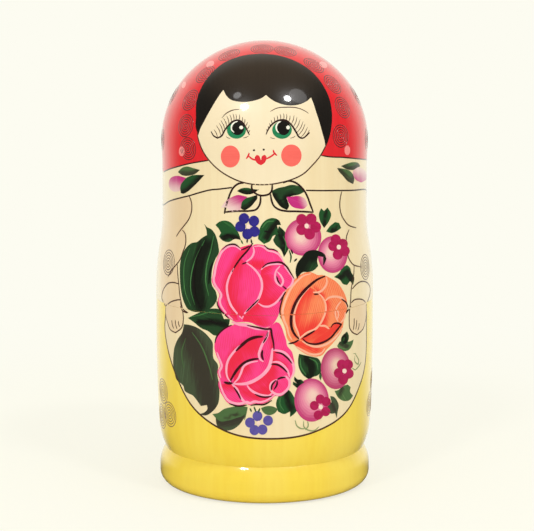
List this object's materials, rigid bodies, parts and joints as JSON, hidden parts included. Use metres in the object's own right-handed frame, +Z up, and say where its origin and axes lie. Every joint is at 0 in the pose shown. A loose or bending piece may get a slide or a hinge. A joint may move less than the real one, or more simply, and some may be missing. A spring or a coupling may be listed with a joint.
{
  "type": "nesting doll",
  "caption": "Painted turned wooden nesting doll: hollow dolls with necked halves, one inside the next, round a small solid doll.",
  "frame": {"origin": "centre of the foot of the outermost doll, on the surface that it stands on", "axes": "+Z up along the axis that every doll is turned round, -Y the way the painted faces look, +X to the right of someone who looks at the faces"},
  "size_m": [0.1274, 0.1274, 0.26],
  "materials": {
    "painted_bottom": "yellow paint under glossy clear lacquer, bare turned wood inside",
    "painted_top": "red and cream paint under glossy clear lacquer, bare turned wood inside",
    "painted_small": "paint under glossy clear lacquer"
  },
  "bodies": {
    "bottom_1": {"bottom_1": "painted_bottom"},
    "bottom_2": {"bottom_2": "painted_bottom"},
    "bottom_3": {"bottom_3": "painted_bottom"},
    "bottom_4": {"bottom_4": "painted_bottom"},
    "bottom_5": {"bottom_5": "painted_bottom"},
    "bottom_6": {"bottom_6": "painted_bottom"},
    "bottom_7": {"bottom_7": "painted_bottom"},
    "bottom_8": {"bottom_8": "painted_bottom"},
    "bottom_9": {"bottom_9": "painted_bottom"},
    "doll_10": {"doll_10": "painted_small"},
    "top_9": {"top_9": "painted_top"},
    "top_8": {"top_8": "painted_top"},
    "top_7": {"top_7": "painted_top"},
    "top_6": {"top_6": "painted_top"},
    "top_5": {"top_5": "painted_top"},
    "top_4": {"top_4": "painted_top"},
    "top_3": {"top_3": "painted_top"},
    "top_2": {"top_2": "painted_top"},
    "top_1": {"top_1": "painted_top"}
  },
  "joints": [
    {"name": "lift_bottom_2", "type": "slide", "parent": "bottom_1", "child": "bottom_2", "axis": [0, 0, 1], "range_m": [0, 0.125]},
    {"name": "lift_bottom_3", "type": "slide", "parent": "bottom_2", "child": "bottom_3", "axis": [0, 0, 1], "range_m": [0, 0.105]},
    {"name": "lift_bottom_4", "type": "slide", "parent": "bottom_3", "child": "bottom_4", "axis": [0, 0, 1], "range_m": [0, 0.088]},
    {"name": "lift_bottom_5", "type": "slide", "parent": "bottom_4", "child": "bottom_5", "axis": [0, 0, 1], "range_m": [0, 0.074]},
    {"name": "lift_bottom_6", "type": "slide", "parent": "bottom_5", "child": "bottom_6", "axis": [0, 0, 1], "range_m": [0, 0.062]},
    {"name": "lift_bottom_7", "type": "slide", "parent": "bottom_6", "child": "bottom_7", "axis": [0, 0, 1], "range_m": [0, 0.052]},
    {"name": "lift_bottom_8", "type": "slide", "parent": "bottom_7", "child": "bottom_8", "axis": [0, 0, 1], "range_m": [0, 0.043]},
    {"name": "lift_bottom_9", "type": "slide", "parent": "bottom_8", "child": "bottom_9", "axis": [0, 0, 1], "range_m": [0, 0.036]},
    {"name": "lift_doll_10", "type": "slide", "parent": "bottom_9", "child": "doll_10", "axis": [0, 0, 1], "range_m": [0, 0.029]},
    {"name": "open_top_9", "type": "slide", "parent": "doll_10", "child": "top_9", "axis": [0, 0, 1], "range_m": [0, 0.028]},
    {"name": "open_top_8", "type": "slide", "parent": "top_9", "child": "top_8", "axis": [0, 0, 1], "range_m": [0, 0.035]},
    {"name": "open_top_7", "type": "slide", "parent": "top_8", "child": "top_7", "axis": [0, 0, 1], "range_m": [0, 0.042]},
    {"name": "open_top_6", "type": "slide", "parent": "top_7", "child": "top_6", "axis": [0, 0, 1], "range_m": [0, 0.051]},
    {"name": "open_top_5", "type": "slide", "parent": "top_6", "child": "top_5", "axis": [0, 0, 1], "range_m": [0, 0.062]},
    {"name": "open_top_4", "type": "slide", "parent": "top_5", "child": "top_4", "axis": [0, 0, 1], "range_m": [0, 0.074]},
    {"name": "open_top_3", "type": "slide", "parent": "top_4", "child": "top_3", "axis": [0, 0, 1], "range_m": [0, 0.089]},
    {"name": "open_top_2", "type": "slide", "parent": "top_3", "child": "top_2", "axis": [0, 0, 1], "range_m": [0, 0.107]},
    {"name": "open_top_1", "type": "slide", "parent": "top_2", "child": "top_1", "axis": [0, 0, 1], "range_m": [0, 0.128]}
  ]
}
